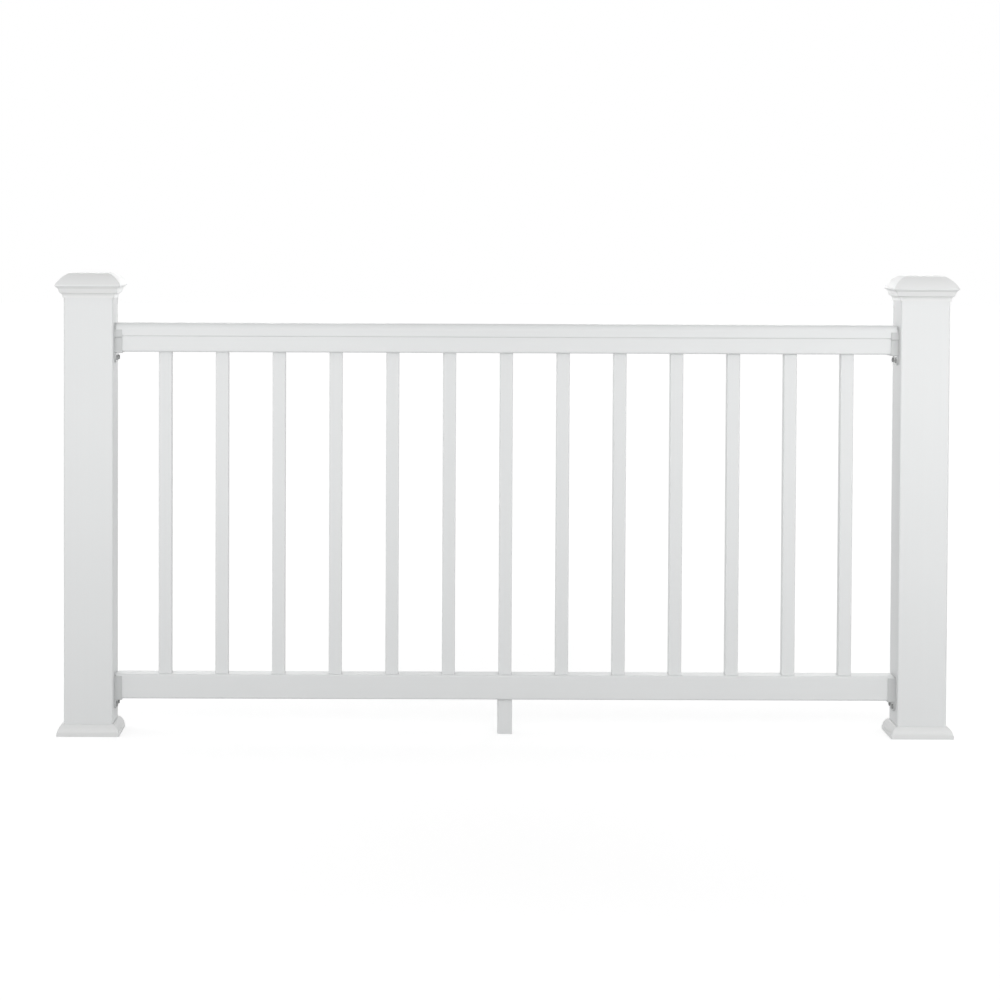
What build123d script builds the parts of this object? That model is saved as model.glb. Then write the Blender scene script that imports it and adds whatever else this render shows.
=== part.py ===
from build123d import *
import os

# A straight composite guard rail section: two hollow post sleeves with moulded caps and base skirts,
# a moulded top rail and a plain bottom rail between them on brackets, square balusters and a foot block.
# Millimetres, +Z up. The origin is the centre of the left post's foot, +X runs along the rails to the
# right post, and -Y is the front.

# Posts: hollow square sleeves that slip over a nominal four by four inch post
post_spacing = 1828.8
sleeve_width = 108.0
sleeve_wall = 7.5
sleeve_above_rail = 85.6
sleeve_corner_radius = 4.0

# Post caps: flat crown, convex hips, sharp drip rim, fascia, cove and a neck that slips over the sleeve
cap_rise = 24.0
cap_hip_height = 26.0
cap_hip_run = 28.0
cap_hip_bulge = 3.0
cap_rim_height = 2.0
cap_undercut_height = 5.5
cap_undercut_depth = 6.0
cap_fascia_height = 9.5
cap_fascia_taper = 3.5
cap_cove_height = 9.0
cap_cove_run = 6.0
cap_cove_depth = 1.8
cap_neck_height = 2.0
cap_neck_wall = 1.8
cap_seat_width = 4.0
cap_shell = 4.0
cap_corner_ease = 1.0
cap_clearance = 0.4

# Base skirts: square collars with an upright face, a small quirk and a convex shoulder, dropped over the
# sleeves
skirt_height = 26.0
skirt_face_height = 8.5
skirt_quirk = 1.2
skirt_shoulder_run = 10.4
skirt_shoulder_bulge = 2.2
skirt_lip = 2.5
skirt_corner_ease = 1.0
skirt_clearance = 0.4

# Top rail: a wide lip with rounded top edges over a narrower body
rail_top_height = 905.0
lip_width = 63.0
lip_height = 28.5
lip_top_radius = 14.0
lip_lower_radius = 3.0
body_width = 56.0
body_height = 34.5
body_radius = 4.0

# Bottom rail: a plain bar with eased edges, held clear of the floor
bottom_rail_gap = 78.0
bottom_rail_width = 56.0
bottom_rail_height = 54.0
bottom_rail_radius = 4.0

# Balusters: square bars set in pockets routed into both rails, with equal gaps
baluster_count = 13
baluster_width = 28.6
baluster_radius = 2.0
pocket_depth = 15.0
pocket_clearance = 0.5
baluster_end_clearance = 0.5

# Foot block: a short square bar under the middle of the bottom rail
foot_width = 32.0
foot_radius = 2.0

# Rail brackets: plate on the post behind the rail's end, saddle round the rail and a tab below for the screws
bracket_length = 17.0
bracket_plate = 4.0
bracket_wall = 2.5
bracket_clearance = 0.3
bracket_tab_drop = 24.0
bracket_tab_width = 58.0
bracket_tab_radius = 14.0
bracket_reveal = 1.0
bracket_hole_diameter = 5.0
bracket_hole_spacing = 38.0

# Places that several pieces share
sleeve_height = rail_top_height + sleeve_above_rail
rail_start = sleeve_width / 2 + bracket_plate + bracket_clearance
rail_end = post_spacing - rail_start
rail_length = rail_end - rail_start
lip_bottom = rail_top_height - lip_height
top_rail_bottom = lip_bottom - body_height
bottom_rail_top = bottom_rail_gap + bottom_rail_height
clear_opening = post_spacing - sleeve_width
baluster_gap = (clear_opening - baluster_count * baluster_width) / (baluster_count + 1)
baluster_pitch = baluster_gap + baluster_width


def baluster_centre(number):
    """X of a baluster's centre, counted from 0 at the left post."""
    return sleeve_width / 2 + baluster_gap + baluster_width / 2 + number * baluster_pitch


def square_bar(width, bottom, top, radius):
    """An upright square bar about the Z axis with rounded corners."""
    section = RectangleRounded(width, width, radius)
    return extrude(Plane.XY.offset(bottom) * section, amount=top - bottom)


def square_box(width, bottom, top):
    """An upright square block about the Z axis with sharp corners."""
    return extrude(Plane.XY.offset(bottom) * Rectangle(width, width), amount=top - bottom)


def mitred(half_outline, half_width):
    """Run a moulding's half outline round a square, so that its runs meet in mitres at the corners."""
    half = make_face(half_outline)
    outline = half + mirror(half, about=Plane.YZ)
    run = extrude(outline, amount=half_width, both=True)
    return run & (Rot(0, 0, 90) * run)


def ease_corners(moulding, width, tolerance=0.01):
    """Ease the mitres of a square moulding, which are the edges whose middles lie on its diagonals."""
    middles = [(edge, edge.center()) for edge in moulding.edges()]
    mitres = [edge for edge, middle in middles if abs(abs(middle.X) - abs(middle.Y)) < tolerance]
    return chamfer(mitres, width)


def bowed(start, end, bulge):
    """An arc from start to end that bows outwards by bulge at its middle, or inwards if that is negative."""
    along = end - start
    outwards = Vector(-along.Z, 0, along.X).normalized()
    if outwards.X < 0:
        outwards = -outwards
    return ThreePointArc(start, (start + end) / 2 + outwards * bulge, end)


def post_sleeve():
    """Hollow square extrusion, open at both ends."""
    bore_width = sleeve_width - 2 * sleeve_wall
    return square_bar(sleeve_width, 0, sleeve_height, sleeve_corner_radius) - square_box(
        bore_width, 0, sleeve_height
    )


def post_cap():
    """Moulded cap: its inner ledge sits on the sleeve's end and its neck hangs round the sleeve."""
    top = sleeve_height + cap_rise
    rim_top = top - cap_hip_height
    rim_bottom = rim_top - cap_rim_height
    fascia_top = rim_bottom - cap_undercut_height
    cove_top = fascia_top - cap_fascia_height
    neck_top = cove_top - cap_cove_height
    neck_bottom = neck_top - cap_neck_height
    socket_half = sleeve_width / 2 + cap_clearance
    neck_half = socket_half + cap_neck_wall
    cove_half = neck_half + cap_cove_run
    fascia_half = cove_half + cap_fascia_taper
    rim_half = fascia_half + cap_undercut_depth
    crown_half = rim_half - cap_hip_run

    crown_edge = Vector(crown_half, 0, top)
    rim_edge = Vector(rim_half, 0, rim_top)
    cove_start = Vector(cove_half, 0, cove_top)
    cove_end = Vector(neck_half, 0, neck_top)
    outline = [
        Line((0, 0, top), crown_edge),
        bowed(crown_edge, rim_edge, cap_hip_bulge),
        Line(rim_edge, (rim_half, 0, rim_bottom)),
        Line((rim_half, 0, rim_bottom), (fascia_half, 0, fascia_top)),
        Line((fascia_half, 0, fascia_top), cove_start),
        bowed(cove_start, cove_end, -cap_cove_depth),
        Line(cove_end, (neck_half, 0, neck_bottom)),
        Line((neck_half, 0, neck_bottom), (0, 0, neck_bottom)),
        Line((0, 0, neck_bottom), (0, 0, top)),
    ]
    solid = ease_corners(mitred(outline, rim_half), cap_corner_ease)
    socket = square_box(2 * socket_half, neck_bottom, sleeve_height)
    hollow_half = sleeve_width / 2 - cap_seat_width
    hollow_outline = [
        Line((0, 0, sleeve_height), (hollow_half, 0, sleeve_height)),
        Line((hollow_half, 0, sleeve_height), (crown_half - cap_shell, 0, top - cap_shell)),
        Line((crown_half - cap_shell, 0, top - cap_shell), (0, 0, top - cap_shell)),
        Line((0, 0, top - cap_shell), (0, 0, sleeve_height)),
    ]
    return solid - socket - mitred(hollow_outline, hollow_half)


def post_skirt():
    """Moulded collar that stands on the floor round the foot of a sleeve."""
    hole_half = sleeve_width / 2 + skirt_clearance
    lip_half = hole_half + skirt_lip
    shoulder_half = lip_half + skirt_shoulder_run
    foot_half = shoulder_half + skirt_quirk
    shoulder = Vector(shoulder_half, 0, skirt_face_height)
    lip_edge = Vector(lip_half, 0, skirt_height)
    outline = [
        Line((0, 0, 0), (foot_half, 0, 0)),
        Line((foot_half, 0, 0), (foot_half, 0, skirt_face_height)),
        Line((foot_half, 0, skirt_face_height), shoulder),
        bowed(shoulder, lip_edge, skirt_shoulder_bulge),
        Line(lip_edge, (0, 0, skirt_height)),
        Line((0, 0, skirt_height), (0, 0, 0)),
    ]
    solid = ease_corners(mitred(outline, foot_half), skirt_corner_ease)
    return solid - square_box(2 * hole_half, 0, skirt_height)


def baluster_pockets(bottom, top):
    """The pockets that one rail has for all the balusters."""
    pocket = square_box(baluster_width + 2 * pocket_clearance, bottom, top)
    return [Pos(baluster_centre(number), 0, 0) * pocket for number in range(baluster_count)]


def rail_bar(section):
    """Run a rail's section, drawn in Y and Z, from one bracket plate to the other."""
    return extrude(Plane.YZ.offset(rail_start) * section, amount=rail_length)


def upright_block(width, bottom, top, lower_radius):
    """A block in Y and Z between two heights, with its lower corners rounded."""
    block = Pos(0, (bottom + top) / 2) * Rectangle(width, top - bottom)
    return fillet(block.vertices().group_by(Axis.Y)[0], lower_radius)


def top_rail_section():
    """The top rail's section in Y and Z: a lip well rounded above and eased below, over a narrower body."""
    lip = Pos(0, lip_bottom + lip_height / 2) * Rectangle(lip_width, lip_height)
    lip = fillet(lip.vertices().group_by(Axis.Y)[-1], lip_top_radius)
    lip = fillet(lip.vertices().group_by(Axis.Y)[0], lip_lower_radius)
    return lip + upright_block(body_width, top_rail_bottom, lip_bottom, body_radius)


def top_rail():
    """Lip and body as one extrusion, with the baluster pockets cut in from below."""
    return rail_bar(top_rail_section()) - baluster_pockets(top_rail_bottom, top_rail_bottom + pocket_depth)


def bottom_rail_section():
    """The bottom rail's plain section in Y and Z."""
    middle = bottom_rail_gap + bottom_rail_height / 2
    return Pos(0, middle) * RectangleRounded(bottom_rail_width, bottom_rail_height, bottom_rail_radius)


def bottom_rail():
    """Plain bar with the baluster pockets cut in from above."""
    return rail_bar(bottom_rail_section()) - baluster_pockets(bottom_rail_top - pocket_depth, bottom_rail_top)


def baluster(number):
    """A square bar standing in its bottom pocket and reaching into the top one."""
    bottom = bottom_rail_top - pocket_depth
    top = top_rail_bottom + pocket_depth - baluster_end_clearance
    return Pos(baluster_centre(number), 0, 0) * square_bar(baluster_width, bottom, top, baluster_radius)


def foot_block():
    """A short bar from the floor to the underside of the bottom rail."""
    return Pos(post_spacing / 2, 0, 0) * square_bar(foot_width, 0, bottom_rail_gap, foot_radius)


def rail_bracket(end_section, held, cheek_top):
    """
    The bracket of a rail's left end: a plate just inside the rail's outline, a saddle up to cheek_top round
    the straight-sided parts held, given as widths and lower ends from the lowest up, and a screw tab.
    """
    post_face = sleeve_width / 2
    outside = bracket_clearance + bracket_wall
    rail_bottom = held[0][1]
    tab_bottom = rail_bottom - bracket_tab_drop
    floor_bottom = rail_bottom - outside

    outer_section = Sketch() + [
        upright_block(width + 2 * outside, bottom - outside, cheek_top, bracket_wall) for width, bottom in held
    ]
    cavity_section = Sketch() + [
        Pos(0, (bottom - bracket_clearance + cheek_top) / 2)
        * Rectangle(width + 2 * bracket_clearance, cheek_top - bottom + bracket_clearance)
        for width, bottom in held
    ]
    tab_section = upright_block(bracket_tab_width, tab_bottom, rail_bottom, bracket_tab_radius)
    plate_section = outer_section + tab_section + offset(end_section, amount=-bracket_reveal)
    plate = extrude(Plane.YZ.offset(post_face) * plate_section, amount=bracket_plate)
    saddle = extrude(
        Plane.YZ.offset(post_face + bracket_plate) * (outer_section - cavity_section),
        amount=bracket_length - bracket_plate,
    )
    hole_height = (tab_bottom + floor_bottom) / 2
    holes = [
        Pos(post_face + bracket_plate / 2, side * bracket_hole_spacing / 2, hole_height)
        * Rot(0, 90, 0)
        * Cylinder(bracket_hole_diameter / 2, bracket_plate)
        for side in (-1, 1)
    ]
    return plate + saddle - holes


def at_right_end(left_piece):
    """The same piece turned to face the other way at the right post."""
    return Pos(post_spacing, 0, 0) * Rot(0, 0, 180) * left_piece


top_bracket = rail_bracket(
    top_rail_section(),
    [(body_width, top_rail_bottom), (lip_width, lip_bottom)],
    rail_top_height - lip_top_radius,
)
bottom_bracket = rail_bracket(
    bottom_rail_section(),
    [(bottom_rail_width, bottom_rail_gap)],
    bottom_rail_top - bottom_rail_radius,
)

pieces = {
    "left_post_sleeve": post_sleeve(),
    "right_post_sleeve": at_right_end(post_sleeve()),
    "left_post_cap": post_cap(),
    "right_post_cap": at_right_end(post_cap()),
    "left_post_skirt": post_skirt(),
    "right_post_skirt": at_right_end(post_skirt()),
    "top_rail": top_rail(),
    "bottom_rail": bottom_rail(),
    "foot_block": foot_block(),
    "top_left_bracket": top_bracket,
    "top_right_bracket": at_right_end(top_bracket),
    "bottom_left_bracket": bottom_bracket,
    "bottom_right_bracket": at_right_end(bottom_bracket),
}
for number in range(baluster_count):
    pieces[f"baluster_{number + 1:02d}"] = baluster(number)

os.makedirs("parts", exist_ok=True)
for node, shape in pieces.items():
    export_step(shape, f"parts/{node}.step")
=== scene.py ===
import math

import bmesh
import bpy
from mathutils import Matrix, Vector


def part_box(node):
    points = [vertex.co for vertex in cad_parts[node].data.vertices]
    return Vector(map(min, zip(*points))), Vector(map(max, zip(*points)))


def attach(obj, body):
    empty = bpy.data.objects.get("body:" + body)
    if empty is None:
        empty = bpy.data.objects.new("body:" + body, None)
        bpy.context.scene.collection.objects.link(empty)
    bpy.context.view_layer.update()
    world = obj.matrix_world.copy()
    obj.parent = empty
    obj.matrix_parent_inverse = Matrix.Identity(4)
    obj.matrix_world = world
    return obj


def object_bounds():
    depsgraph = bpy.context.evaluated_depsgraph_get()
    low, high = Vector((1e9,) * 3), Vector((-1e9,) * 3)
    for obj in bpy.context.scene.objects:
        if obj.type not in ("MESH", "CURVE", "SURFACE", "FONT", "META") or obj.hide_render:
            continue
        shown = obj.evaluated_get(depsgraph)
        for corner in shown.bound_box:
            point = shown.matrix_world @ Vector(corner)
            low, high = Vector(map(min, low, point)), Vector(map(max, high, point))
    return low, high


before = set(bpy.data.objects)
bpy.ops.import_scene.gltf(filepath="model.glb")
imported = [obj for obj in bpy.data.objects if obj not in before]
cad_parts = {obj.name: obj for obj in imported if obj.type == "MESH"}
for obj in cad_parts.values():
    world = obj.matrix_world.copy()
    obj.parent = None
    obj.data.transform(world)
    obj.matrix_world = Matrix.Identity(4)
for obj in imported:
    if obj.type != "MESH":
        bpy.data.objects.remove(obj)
cad_box = [list(corner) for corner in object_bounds()]

# Post sleeves: hollow square extrusions of wood and plastic composite in a white capping. The die leaves
# very faint lengthwise streaks and a slightly uneven matt skin, the same on every length of such stock.
COMPOSITE_WHITE = (0.795, 0.805, 0.805, 1.0)
COMPOSITE_SHADE = (0.765, 0.777, 0.778, 1.0)
STREAKS_ACROSS = 220.0
STREAKS_ALONG = 1.2
MOTTLE_SCALE = 6.0
TOOTH_SCALE = 1100.0
STREAK_DETAIL = 4.0
MOTTLE_DETAIL = 3.0
TOOTH_DETAIL = 2.0
STREAK_SHARE = 0.5
MOTTLE_SHARE = 0.5
TOOTH_SHARE = 0.5
COMPOSITE_SMOOTHEST = 0.46
COMPOSITE_ROUGHEST = 0.60
COMPOSITE_RELIEF = 0.00006
COMPOSITE_RELIEF_STRENGTH = 0.25


def new_group(name, inputs, outputs):
    """An empty shader node group with named inputs, their usual values, and named outputs."""
    group = bpy.data.node_groups.new(name, "ShaderNodeTree")
    for label, kind, value in inputs:
        socket = group.interface.new_socket(label, in_out="INPUT", socket_type=kind)
        socket.default_value = value
    for label, kind in outputs:
        group.interface.new_socket(label, in_out="OUTPUT", socket_type=kind)
    return group


def noise(nodes, links, vector, scale, detail):
    """A noise texture that reads one vector socket; returns its value socket."""
    texture = nodes.new("ShaderNodeTexNoise")
    texture.inputs["Scale"].default_value = scale
    texture.inputs["Detail"].default_value = detail
    links.new(vector, texture.inputs["Vector"])
    return texture.outputs["Fac"]


def scaled_sum(nodes, links, first, share, second):
    """first times share, plus second."""
    total = nodes.new("ShaderNodeMath")
    total.operation = "MULTIPLY_ADD"
    total.inputs[1].default_value = share
    links.new(first, total.inputs[0])
    links.new(second, total.inputs[2])
    return total.outputs["Value"]


def between(nodes, links, factor, first, second):
    """A colour that goes from the first socket's to the second's with a factor."""
    blend = nodes.new("ShaderNodeMix")
    blend.data_type = "RGBA"
    links.new(factor, blend.inputs["Factor"])
    links.new(first, blend.inputs[6])
    links.new(second, blend.inputs[7])
    return blend.outputs[2]


def extruded_skin_group():
    """Streaks along one direction, broad mottling and a fine tooth, for anything pushed through a die."""
    group = new_group(
        "extruded_skin",
        [
            ("Vector", "NodeSocketVector", (0.0, 0.0, 0.0)),
            ("White", "NodeSocketColor", COMPOSITE_WHITE),
            ("Shade", "NodeSocketColor", COMPOSITE_SHADE),
        ],
        [
            ("Color", "NodeSocketColor"),
            ("Roughness", "NodeSocketFloat"),
            ("Height", "NodeSocketFloat"),
        ],
    )
    nodes, links = group.nodes, group.links
    taken = nodes.new("NodeGroupInput")
    given = nodes.new("NodeGroupOutput")
    place = nodes.new("ShaderNodeTexCoord").outputs["Object"]
    streaks = noise(nodes, links, taken.outputs["Vector"], 1.0, STREAK_DETAIL)
    mottle = noise(nodes, links, place, MOTTLE_SCALE, MOTTLE_DETAIL)
    tooth = noise(nodes, links, place, TOOTH_SCALE, TOOTH_DETAIL)

    clouding = nodes.new("ShaderNodeMath")
    clouding.operation = "MULTIPLY"
    clouding.inputs[1].default_value = MOTTLE_SHARE
    links.new(mottle, clouding.inputs[0])
    tone = scaled_sum(nodes, links, streaks, STREAK_SHARE, clouding.outputs["Value"])
    colour = between(nodes, links, tone, taken.outputs["White"], taken.outputs["Shade"])
    links.new(colour, given.inputs["Color"])

    gloss = nodes.new("ShaderNodeMapRange")
    gloss.inputs["To Min"].default_value = COMPOSITE_SMOOTHEST
    gloss.inputs["To Max"].default_value = COMPOSITE_ROUGHEST
    links.new(tone, gloss.inputs["Value"])
    links.new(gloss.outputs["Result"], given.inputs["Roughness"])
    links.new(scaled_sum(nodes, links, tooth, TOOTH_SHARE, streaks), given.inputs["Height"])
    return group


extruded_skin = extruded_skin_group()


def bumped_material(name, group, bump_distance, bump_strength):
    """A material with its colour, roughness and relief from a node group; returns it and the group's node."""
    material = bpy.data.materials.new(name)
    material.use_nodes = True
    nodes, links = material.node_tree.nodes, material.node_tree.links
    shader = nodes["Principled BSDF"]
    skin = nodes.new("ShaderNodeGroup")
    skin.node_tree = group
    bump = nodes.new("ShaderNodeBump")
    bump.inputs["Distance"].default_value = bump_distance
    bump.inputs["Strength"].default_value = bump_strength
    links.new(skin.outputs["Color"], shader.inputs["Base Color"])
    links.new(skin.outputs["Roughness"], shader.inputs["Roughness"])
    links.new(skin.outputs["Height"], bump.inputs["Height"])
    links.new(bump.outputs["Normal"], shader.inputs["Normal"])
    return material, skin


def composite(name, along):
    """White composite with its streaks along X or along Z."""
    material, skin = bumped_material(name, extruded_skin, COMPOSITE_RELIEF, COMPOSITE_RELIEF_STRENGTH)
    nodes, links = material.node_tree.nodes, material.node_tree.links
    place = nodes.new("ShaderNodeTexCoord")
    stretch = nodes.new("ShaderNodeMapping")
    across = [STREAKS_ACROSS] * 3
    across["XYZ".index(along)] = STREAKS_ALONG
    stretch.inputs["Scale"].default_value = across
    links.new(place.outputs["Object"], stretch.inputs["Vector"])
    links.new(stretch.outputs["Vector"], skin.inputs["Vector"])
    return material


def finish_nodes(names, material):
    """Give each of these pieces of the frame one material."""
    for name in names:
        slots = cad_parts[name].data.materials
        slots.clear()
        slots.append(material)


upright_composite = composite("upright_composite", "Z")
SLEEVES = ["left_post_sleeve", "right_post_sleeve"]
finish_nodes(SLEEVES, upright_composite)

# Base skirts and post caps: injection moulded in white plastic, slipped over the foot and the end of each
# sleeve. The mould leaves a satin skin with a very fine pebble and no streaks.
MOULDED_WHITE = (0.80, 0.805, 0.80, 1.0)
MOULDED_SHADE = (0.78, 0.787, 0.785, 1.0)
CLOUD_SCALE = 18.0
CLOUD_DETAIL = 3.0
MOULDED_PEBBLE = 1400.0
MOULDED_SMOOTHEST = 0.36
MOULDED_ROUGHEST = 0.48
PEBBLE_RELIEF = 0.0001
MOULDED_RELIEF_STRENGTH = 0.3


def moulded_skin_group():
    """Fine even pebble with faint clouding, for moulded or coated skins."""
    group = new_group(
        "moulded_skin",
        [
            ("White", "NodeSocketColor", MOULDED_WHITE),
            ("Shade", "NodeSocketColor", MOULDED_SHADE),
            ("Pebble Scale", "NodeSocketFloat", MOULDED_PEBBLE),
            ("Smoothest", "NodeSocketFloat", MOULDED_SMOOTHEST),
            ("Roughest", "NodeSocketFloat", MOULDED_ROUGHEST),
        ],
        [
            ("Color", "NodeSocketColor"),
            ("Roughness", "NodeSocketFloat"),
            ("Height", "NodeSocketFloat"),
        ],
    )
    nodes, links = group.nodes, group.links
    taken = nodes.new("NodeGroupInput")
    given = nodes.new("NodeGroupOutput")
    place = nodes.new("ShaderNodeTexCoord").outputs["Object"]
    clouds = noise(nodes, links, place, CLOUD_SCALE, CLOUD_DETAIL)
    colour = between(nodes, links, clouds, taken.outputs["White"], taken.outputs["Shade"])
    links.new(colour, given.inputs["Color"])

    gloss = nodes.new("ShaderNodeMapRange")
    links.new(clouds, gloss.inputs["Value"])
    links.new(taken.outputs["Smoothest"], gloss.inputs["To Min"])
    links.new(taken.outputs["Roughest"], gloss.inputs["To Max"])
    links.new(gloss.outputs["Result"], given.inputs["Roughness"])

    pebble = nodes.new("ShaderNodeTexVoronoi")
    pebble.feature = "SMOOTH_F1"
    links.new(place, pebble.inputs["Vector"])
    links.new(taken.outputs["Pebble Scale"], pebble.inputs["Scale"])
    links.new(pebble.outputs["Distance"], given.inputs["Height"])
    return group


moulded_skin = moulded_skin_group()
moulded_white, _ = bumped_material("moulded_white", moulded_skin, PEBBLE_RELIEF, MOULDED_RELIEF_STRENGTH)
CAPS = ["left_post_cap", "right_post_cap"]
SKIRTS = ["left_post_skirt", "right_post_skirt"]
finish_nodes(CAPS + SKIRTS, moulded_white)

# Rail brackets: pressed metal saddles with a plate and a screw tab against the post, powder coated in an
# off-white that is greyer than the composite.
BRACKET_WHITE = (0.60, 0.61, 0.61, 1.0)
BRACKET_SHADE = (0.55, 0.56, 0.56, 1.0)
POWDER_PEBBLE = 700.0
POWDER_RELIEF_STRENGTH = 0.4
BRACKETS = [f"{level}_{side}_bracket" for level in ("top", "bottom") for side in ("left", "right")]


def powder_coat(name, white, shade):
    """A powder coat between two close greys, with a coarser pebble than a moulding has; for the screws its
    greys are painted shade.
    """
    material, skin = bumped_material(name, moulded_skin, PEBBLE_RELIEF, POWDER_RELIEF_STRENGTH)
    skin.inputs["White"].default_value = white
    skin.inputs["Shade"].default_value = shade
    skin.inputs["Pebble Scale"].default_value = POWDER_PEBBLE
    return material


finish_nodes(BRACKETS, powder_coat("bracket_powder_coat", BRACKET_WHITE, BRACKET_SHADE))

# Bracket screws: pan head screws with a six-lobe recess. Their grey, darker than the brackets', is painted
# shade that stands in for the shadow under the end of the rail. Two go through the tab of each bracket into
# the post, one beside the other under the end of the rail.
SCREW_PAINTED_SHADE = (0.36, 0.365, 0.365, 1.0)
SCREW_PAINTED_SHADE_DARKER = (0.32, 0.325, 0.325, 1.0)
HEAD_RADIUS = 0.0052
HEAD_HEIGHT = 0.0034
HEAD_ROUNDING = 0.0016
ROUNDING_STEPS = 4
ROUNDING_FULLNESS = 0.55
SHANK_RADIUS = 0.0021
RECESS_RADIUS = 0.0022
RECESS_DEPTH = 0.0015
RECESS_LOBES = 6
HEAD_SIDES = 4 * RECESS_LOBES
LOBE_NARROWING = 0.74
VALLEY_SHARE = 0.1
RIM_MARGIN = 1.1
END_FACING = 0.99
SMOOTH_BELOW = math.radians(40.0)
BRACKET_PLATE = 0.004
SCREW_SPACING = 0.038
SCREW_ABOVE_TAB_END = 0.0106
SCREW_TURN = math.radians(37.0)


def pick(obj, kind, wanted):
    """In edit mode, select only the verts, edges or faces of obj that pass a test."""
    mesh = bmesh.from_edit_mesh(obj.data)
    bpy.ops.mesh.select_all(action="DESELECT")
    mesh.select_mode = {kind.upper().rstrip("S")}
    bpy.context.tool_settings.mesh_select_mode = [kind == "verts", kind == "edges", kind == "faces"]
    for element in getattr(mesh, kind):
        element.select_set(wanted(element))
    mesh.select_flush_mode()
    bmesh.update_edit_mesh(obj.data)


def pan_head_screw():
    """One screw along +X, with the seat of its head at the origin."""
    bpy.ops.object.select_all(action="DESELECT")
    bpy.ops.mesh.primitive_cylinder_add(
        vertices=HEAD_SIDES,
        radius=HEAD_RADIUS,
        depth=HEAD_HEIGHT,
        location=(HEAD_HEIGHT / 2, 0.0, 0.0),
        rotation=(0.0, math.pi / 2, 0.0),
    )
    screw = bpy.context.object
    bpy.ops.object.transform_apply(location=True, rotation=True, scale=True)
    near = HEAD_HEIGHT / 100
    rim_reach = RECESS_RADIUS * RIM_MARGIN
    bpy.ops.object.mode_set(mode="EDIT")

    pick(screw, "edges", lambda edge: all(v.co.x > HEAD_HEIGHT - near for v in edge.verts))
    bpy.ops.mesh.bevel(
        offset=HEAD_ROUNDING, segments=ROUNDING_STEPS, profile=ROUNDING_FULLNESS, affect="EDGES"
    )
    pick(screw, "faces", lambda face: face.normal.x > END_FACING and len(face.verts) == HEAD_SIDES)
    bpy.ops.mesh.inset(thickness=HEAD_RADIUS - HEAD_ROUNDING - RECESS_RADIUS)

    def in_valley(vert):
        """True for the recess rim's points half-way between two lobes."""
        turn = math.atan2(vert.co.z, vert.co.y) / math.tau * RECESS_LOBES
        on_rim = math.hypot(vert.co.y, vert.co.z) < rim_reach
        return on_rim and vert.co.x > HEAD_HEIGHT - near and abs(turn % 1 - 0.5) < VALLEY_SHARE

    pick(screw, "verts", in_valley)
    bpy.ops.transform.resize(
        value=(1.0, LOBE_NARROWING, LOBE_NARROWING), center_override=(HEAD_HEIGHT, 0.0, 0.0)
    )
    pick(screw, "faces", lambda face: all(math.hypot(v.co.y, v.co.z) < rim_reach for v in face.verts))
    bpy.ops.mesh.extrude_region_move(TRANSFORM_OT_translate={"value": (-RECESS_DEPTH, 0.0, 0.0)})

    pick(screw, "faces", lambda face: face.normal.x < -END_FACING and len(face.verts) == HEAD_SIDES)
    bpy.ops.mesh.inset(thickness=HEAD_RADIUS - SHANK_RADIUS)
    bpy.ops.mesh.extrude_region_move(TRANSFORM_OT_translate={"value": (-BRACKET_PLATE, 0.0, 0.0)})
    bpy.ops.object.mode_set(mode="OBJECT")
    bpy.ops.object.shade_smooth_by_angle(angle=SMOOTH_BELOW)
    return screw


# The screws' dark grey is painted shade, standing in for the shadow under the end of each rail.
screw_painted_shade = powder_coat("screw_painted_shade", SCREW_PAINTED_SHADE, SCREW_PAINTED_SHADE_DARKER)
pattern_screw = pan_head_screw()
pattern_screw.data.materials.append(screw_painted_shade)
turns = 0
for bracket in BRACKETS:
    low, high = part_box(bracket)
    on_left = "left" in bracket
    seat = low.x + BRACKET_PLATE if on_left else high.x - BRACKET_PLATE
    facing = Matrix.Rotation(0.0 if on_left else math.pi, 4, "Z")
    for side, reach in (("front", -SCREW_SPACING / 2), ("back", SCREW_SPACING / 2)):
        turns += 1
        screw = pattern_screw.copy()
        screw.data = pattern_screw.data.copy()
        screw.name = f"{bracket}_{side}_screw"
        hole = Matrix.Translation((seat, reach, low.z + SCREW_ABOVE_TAB_END))
        screw.data.transform(hole @ facing @ Matrix.Rotation(turns * SCREW_TURN, 4, "X"))
        bpy.context.collection.objects.link(screw)
        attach(screw, "root")
bpy.data.objects.remove(pattern_screw)

# Rails, balusters and foot block: cut from the same composite stock as the sleeves. The rails' streaks run
# along the section and those of the upright bars up and down.
lengthwise_composite = composite("lengthwise_composite", "X")
finish_nodes(["top_rail", "bottom_rail"], lengthwise_composite)
BALUSTERS = sorted(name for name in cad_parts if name.startswith("baluster_"))
finish_nodes(BALUSTERS + ["foot_block"], upright_composite)

# Studio: pale paper that fades to white away from the section, under a surround that is dimmer overhead. A
# gridded panel stands in front of each post and a weaker one behind it, and a side panel far to the left
# lights the faces that look that way.
x_middle = (cad_box[0][0] + cad_box[1][0]) / 2
ground = cad_box[0][2]
FLOOR_SIZE = 60.0
FLOOR_WHITE = (0.70, 0.70, 0.70, 1.0)
NEAR_LIFT = 0.498
FAR_LIFT = 0.585
FADE_START = 0.6
FADE_END = 2.6
HORIZON_LIGHT = 0.91
ZENITH_LIGHT = 0.48
PANEL_HEIGHT = 0.8
FRONT_OUT = -2.3
PANEL_SPREAD = math.radians(80.0)
LEFT_REACH = -1.06
LEFT_TALL = 1.0
LEFT_AIM = 0.86
LEFT_WIDTH = 1.7
LEFT_POWER = 4.15
RIGHT_REACH = 1.44
RIGHT_TALL = 1.18
RIGHT_AIM = 0.79
RIGHT_WIDTH = 2.3
RIGHT_POWER = 6.4
BACK_OUT = 2.3
BACK_REACH = 1.25
BACK_TALL = 1.05
BACK_AIM = 0.82
BACK_WIDTH = 1.9
BACK_POWER = 3.3
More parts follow.
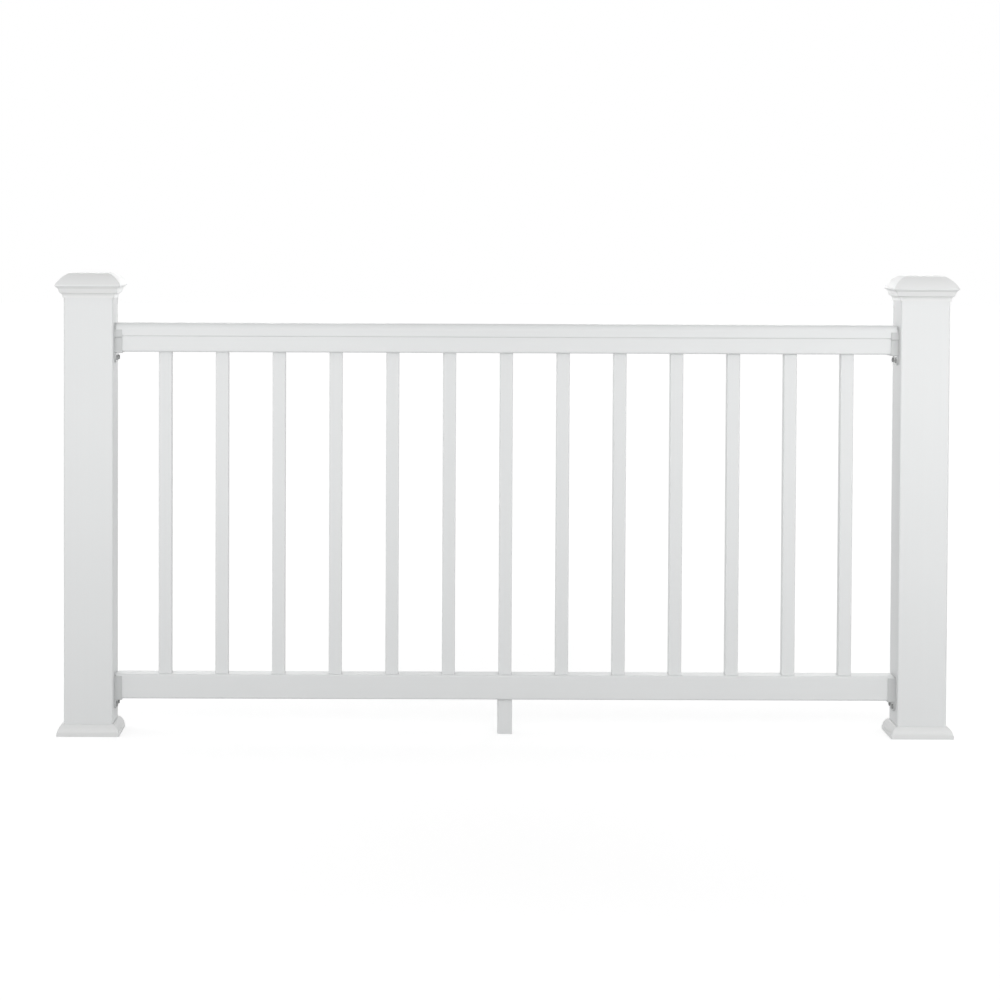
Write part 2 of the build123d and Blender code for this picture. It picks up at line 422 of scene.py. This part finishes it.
SIDE_PLACE = (x_middle - 3.2, 1.7, 1.5)
SIDE_AIM = (x_middle, 0.0, 0.6)
SIDE_WIDTH = 3.0
SIDE_POWER = 4.0
SIDE_SPREAD = math.radians(120.0)


def seen_directly(nodes, links):
    """1 for camera, mirror and see-through rays, so that these all find the same white background."""
    path = nodes.new("ShaderNodeLightPath")
    first = nodes.new("ShaderNodeMath")
    first.operation = "MAXIMUM"
    links.new(path.outputs["Is Camera Ray"], first.inputs[0])
    links.new(path.outputs["Is Glossy Ray"], first.inputs[1])
    second = nodes.new("ShaderNodeMath")
    second.operation = "MAXIMUM"
    links.new(first.outputs["Value"], second.inputs[0])
    links.new(path.outputs["Is Transmission Ray"], second.inputs[1])
    return second.outputs["Value"]


bpy.ops.object.select_all(action="DESELECT")
bpy.ops.mesh.primitive_plane_add(size=FLOOR_SIZE, location=(x_middle, 0.0, ground))
floor = bpy.context.object
floor.name = "studio_floor"
floor_paper = bpy.data.materials.new("floor_paper")
floor_paper.use_nodes = True
nodes, links = floor_paper.node_tree.nodes, floor_paper.node_tree.links
nodes.remove(nodes["Principled BSDF"])
matt = nodes.new("ShaderNodeBsdfDiffuse")
matt.inputs["Color"].default_value = FLOOR_WHITE
lift = nodes.new("ShaderNodeEmission")
lift.inputs["Color"].default_value = (1.0, 1.0, 1.0, 1.0)
distance = nodes.new("ShaderNodeVectorMath")
distance.operation = "LENGTH"
links.new(nodes.new("ShaderNodeTexCoord").outputs["Object"], distance.inputs[0])
fade = nodes.new("ShaderNodeMapRange")
fade.interpolation_type = "SMOOTHSTEP"
for label, value in (
    ("From Min", FADE_START),
    ("From Max", FADE_END),
    ("To Min", NEAR_LIFT),
    ("To Max", FAR_LIFT),
):
    fade.inputs[label].default_value = value
links.new(distance.outputs["Value"], fade.inputs["Value"])
amount = nodes.new("ShaderNodeMath")
amount.operation = "MULTIPLY"
links.new(seen_directly(nodes, links), amount.inputs[0])
links.new(fade.outputs["Result"], amount.inputs[1])
links.new(amount.outputs["Value"], lift.inputs["Strength"])
both = nodes.new("ShaderNodeAddShader")
links.new(matt.outputs["BSDF"], both.inputs[0])
links.new(lift.outputs["Emission"], both.inputs[1])
links.new(both.outputs["Shader"], nodes["Material Output"].inputs["Surface"])
floor.data.materials.append(floor_paper)

world = bpy.data.worlds.new("white_surround")
bpy.context.scene.world = world
world.use_nodes = True
nodes, links = world.node_tree.nodes, world.node_tree.links
background = nodes["Background"]
background.inputs["Color"].default_value = (1.0, 1.0, 1.0, 1.0)
towards = nodes.new("ShaderNodeSeparateXYZ")
links.new(nodes.new("ShaderNodeTexCoord").outputs["Generated"], towards.inputs["Vector"])
falling = nodes.new("ShaderNodeMapRange")
falling.inputs["To Min"].default_value = HORIZON_LIGHT
falling.inputs["To Max"].default_value = ZENITH_LIGHT
links.new(towards.outputs["Z"], falling.inputs["Value"])
level = nodes.new("ShaderNodeMapRange")
level.inputs["To Max"].default_value = 1.0
links.new(falling.outputs["Result"], level.inputs["To Min"])
links.new(seen_directly(nodes, links), level.inputs["Value"])
links.new(level.outputs["Result"], background.inputs["Strength"])


def soft_light(name, place, aim, width, power, spread):
    """A long studio panel at a place, turned towards a point, whose grid holds its light to a spread."""
    light = bpy.data.lights.new(name, "AREA")
    light.shape = "RECTANGLE"
    light.size = width
    light.size_y = PANEL_HEIGHT
    light.energy = power
    light.spread = spread
    lamp = bpy.data.objects.new(name, light)
    bpy.context.collection.objects.link(lamp)
    away = [p - a for p, a in zip(place, aim)]
    flat = math.hypot(away[0], away[1])
    lamp.location = place
    lamp.visible_camera = False
    lamp.rotation_euler = (math.atan2(flat, away[2]), 0.0, math.atan2(away[0], -away[1]))


for name, reach, out, tall, aim_height, width, power in (
    ("front_left_panel", LEFT_REACH, FRONT_OUT, LEFT_TALL, LEFT_AIM, LEFT_WIDTH, LEFT_POWER),
    ("front_right_panel", RIGHT_REACH, FRONT_OUT, RIGHT_TALL, RIGHT_AIM, RIGHT_WIDTH, RIGHT_POWER),
    ("back_left_panel", -BACK_REACH, BACK_OUT, BACK_TALL, BACK_AIM, BACK_WIDTH, BACK_POWER),
    ("back_right_panel", BACK_REACH, BACK_OUT, BACK_TALL, BACK_AIM, BACK_WIDTH, BACK_POWER),
):
    place = (x_middle + reach, out, tall)
    aim = (x_middle + reach, 0.0, aim_height)
    soft_light(name, place, aim, width, power, PANEL_SPREAD)
soft_light("side_panel", SIDE_PLACE, SIDE_AIM, SIDE_WIDTH, SIDE_POWER, SIDE_SPREAD)

# Camera: a long lens a little higher than the caps, almost square on to the section. Its picture is shifted
# down more than the lens is tilted, so that the posts stay upright.
CAMERA_PLACE = (0.720, -6.400, 1.150)
CAMERA_LENS = 104.7
CAMERA_PITCH = math.radians(1.92)
CAMERA_YAW = math.radians(-0.32)
CAMERA_ROLL = math.radians(-0.24)
CAMERA_SENSOR = 36.0
CAMERA_SHIFT = (0.065, -0.19)
camera_data = bpy.data.cameras.new("product_camera")
camera_data.lens = CAMERA_LENS
camera_data.sensor_width = CAMERA_SENSOR
camera_data.shift_x, camera_data.shift_y = CAMERA_SHIFT
camera = bpy.data.objects.new("product_camera", camera_data)
bpy.context.collection.objects.link(camera)
camera.location = CAMERA_PLACE
camera.rotation_euler = (math.pi / 2 - CAMERA_PITCH, CAMERA_ROLL, CAMERA_YAW)
bpy.context.scene.camera = camera
bpy.context.scene.view_settings.view_transform = "Standard"
